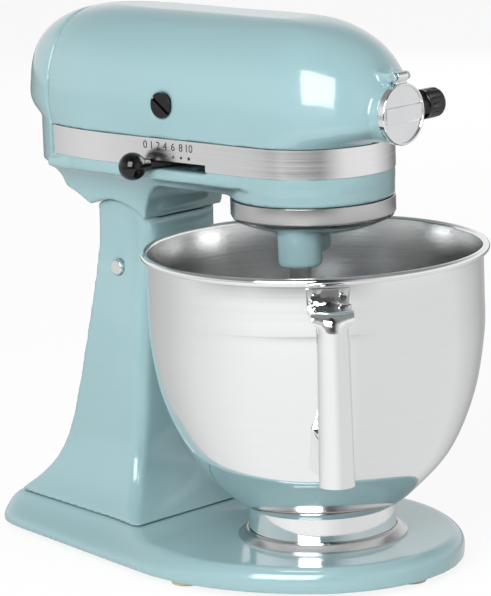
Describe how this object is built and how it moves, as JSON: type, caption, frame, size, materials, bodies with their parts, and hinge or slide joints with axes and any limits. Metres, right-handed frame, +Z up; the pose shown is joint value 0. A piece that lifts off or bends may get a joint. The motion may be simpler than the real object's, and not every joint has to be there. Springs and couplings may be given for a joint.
{
  "type": "stand mixer",
  "caption": "Tilt-head stand mixer with a swept pedestal, planetary beater drive, attachment hub and a steel bowl with a handle on a twist-lock clamp plate.",
  "frame": {"origin": "on the bowl and planetary axis at the worktop", "axes": "+Z up, -Y towards the attachment hub at the front, -X the side of the speed lever"},
  "size_m": [0.222, 0.3582, 0.353],
  "materials": {
    "enamel": "glossy light aqua enamel",
    "steel": "machined",
    "chrome": "bright chrome",
    "polished_steel": "polished stainless",
    "brushed_trim": "brushed along its length",
    "black_plastic": "gloss black",
    "black_rubber": "matt",
    "foot_rubber": "matt cream",
    "brass": "plain",
    "carbon": "matt",
    "aluminium": "as cast",
    "black_board": "matt"
  },
  "bodies": {
    "stand": {"base_casting": "enamel", "column_casting": "enamel", "column_bolts": "steel", "rubber_feet": "foot_rubber", "bowl_clamp_plate": "chrome", "clamp_screws": "steel", "hinge_pin": "steel", "pin_set_screw": "steel"},
    "head": {"gear_case": "enamel", "motor_housing": "enamel", "rear_cover": "enamel", "trim_band": "brushed_trim", "drip_ring": "brushed_trim", "ring_gear": "steel", "brush_caps": "black_plastic", "brush_holders": "brass", "carbon_brushes": "carbon", "cord_gland": "black_rubber", "hub_sleeve": "steel", "hub_hinge_pin": "steel", "motor_stator": "steel", "front_bearing_plate": "aluminium", "rear_bearing_plate": "aluminium", "motor_bushes": "brass", "control_plate": "black_board"},
    "bowl": {"bowl_shell": "polished_steel", "bowl_foot": "polished_steel", "bowl_handle": "polished_steel", "handle_rivets": "polished_steel"},
    "hub_flap": {"hub_cover": "chrome"},
    "hub_thumbscrew": {"attachment_knob": "black_plastic"},
    "hub_drive": {"hub_drive_gear": "steel"},
    "planetary": {"planetary_housing": "enamel", "planetary_shaft": "steel", "drive_gear": "steel"},
    "beater_drive": {"planet_pinion": "steel", "beater_shaft": "steel", "cross_pin": "steel"},
    "motor_rotor": {"armature": "steel"},
    "worm_drive": {"worm_wheel": "brass", "worm_pinion": "steel", "worm_spindle": "steel"},
    "speed_control": {"speed_lever": "steel", "speed_knob": "black_plastic"},
    "head_lock": {"lock_lever": "steel", "lock_knob": "black_plastic"}
  },
  "joints": [
    {"name": "head_tilt", "type": "hinge", "parent": "stand", "child": "head", "pos_m": [0, 0.145, 0.183], "axis": [-1, 0, 0], "range_deg": [0, 45]},
    {"name": "bowl_twist", "type": "hinge", "parent": "stand", "child": "bowl", "pos_m": [0, 0, 0.023], "axis": [0, 0, 1], "range_deg": [0, 25]},
    {"name": "hub_cover_flip", "type": "hinge", "parent": "head", "child": "hub_flap", "pos_m": [0, -0.0755, 0.3209], "axis": [-1, 0, 0], "range_deg": [0, 95]},
    {"name": "attachment_knob_turn", "type": "hinge", "parent": "head", "child": "hub_thumbscrew", "pos_m": [0, -0.061, 0.2977], "axis": [1, 0, 0], "continuous": true},
    {"name": "armature_spin", "type": "hinge", "parent": "head", "child": "motor_rotor", "pos_m": [0, 0, 0.2985], "axis": [0, 1, 0], "continuous": true},
    {"name": "worm_spin", "type": "hinge", "parent": "head", "child": "worm_drive", "pos_m": [-0.0245, 0.03034, 0.26], "axis": [0, 0, 1], "continuous": true},
    {"name": "planetary_spin", "type": "hinge", "parent": "head", "child": "planetary", "pos_m": [0, 0, 0.24], "axis": [0, 0, 1], "continuous": true},
    {"name": "hub_drive_spin", "type": "hinge", "parent": "head", "child": "hub_drive", "pos_m": [0, -0.03, 0.2977], "axis": [0, 1, 0], "continuous": true},
    {"name": "beater_spin", "type": "hinge", "parent": "planetary", "child": "beater_drive", "pos_m": [-0.02899, -0.01414, 0.2], "axis": [0, 0, 1], "continuous": true},
    {"name": "speed_lever_swing", "type": "hinge", "parent": "head", "child": "speed_control", "pos_m": [-0.01, 0.069, 0.26], "axis": [0, 0, 1], "range_deg": [0, 40]},
    {"name": "lock_lever_swing", "type": "hinge", "parent": "head", "child": "head_lock", "pos_m": [0.01, 0.069, 0.26], "axis": [0, 0, -1], "range_deg": [0, 40]}
  ],
  "couplings": [
    {"joint": "worm_spin", "follows": "armature_spin", "ratio": 0.05},
    {"joint": "planetary_spin", "follows": "armature_spin", "ratio": -0.015},
    {"joint": "hub_drive_spin", "follows": "armature_spin", "ratio": -0.015},
    {"joint": "beater_spin", "follows": "armature_spin", "ratio": 0.058}
  ]
}
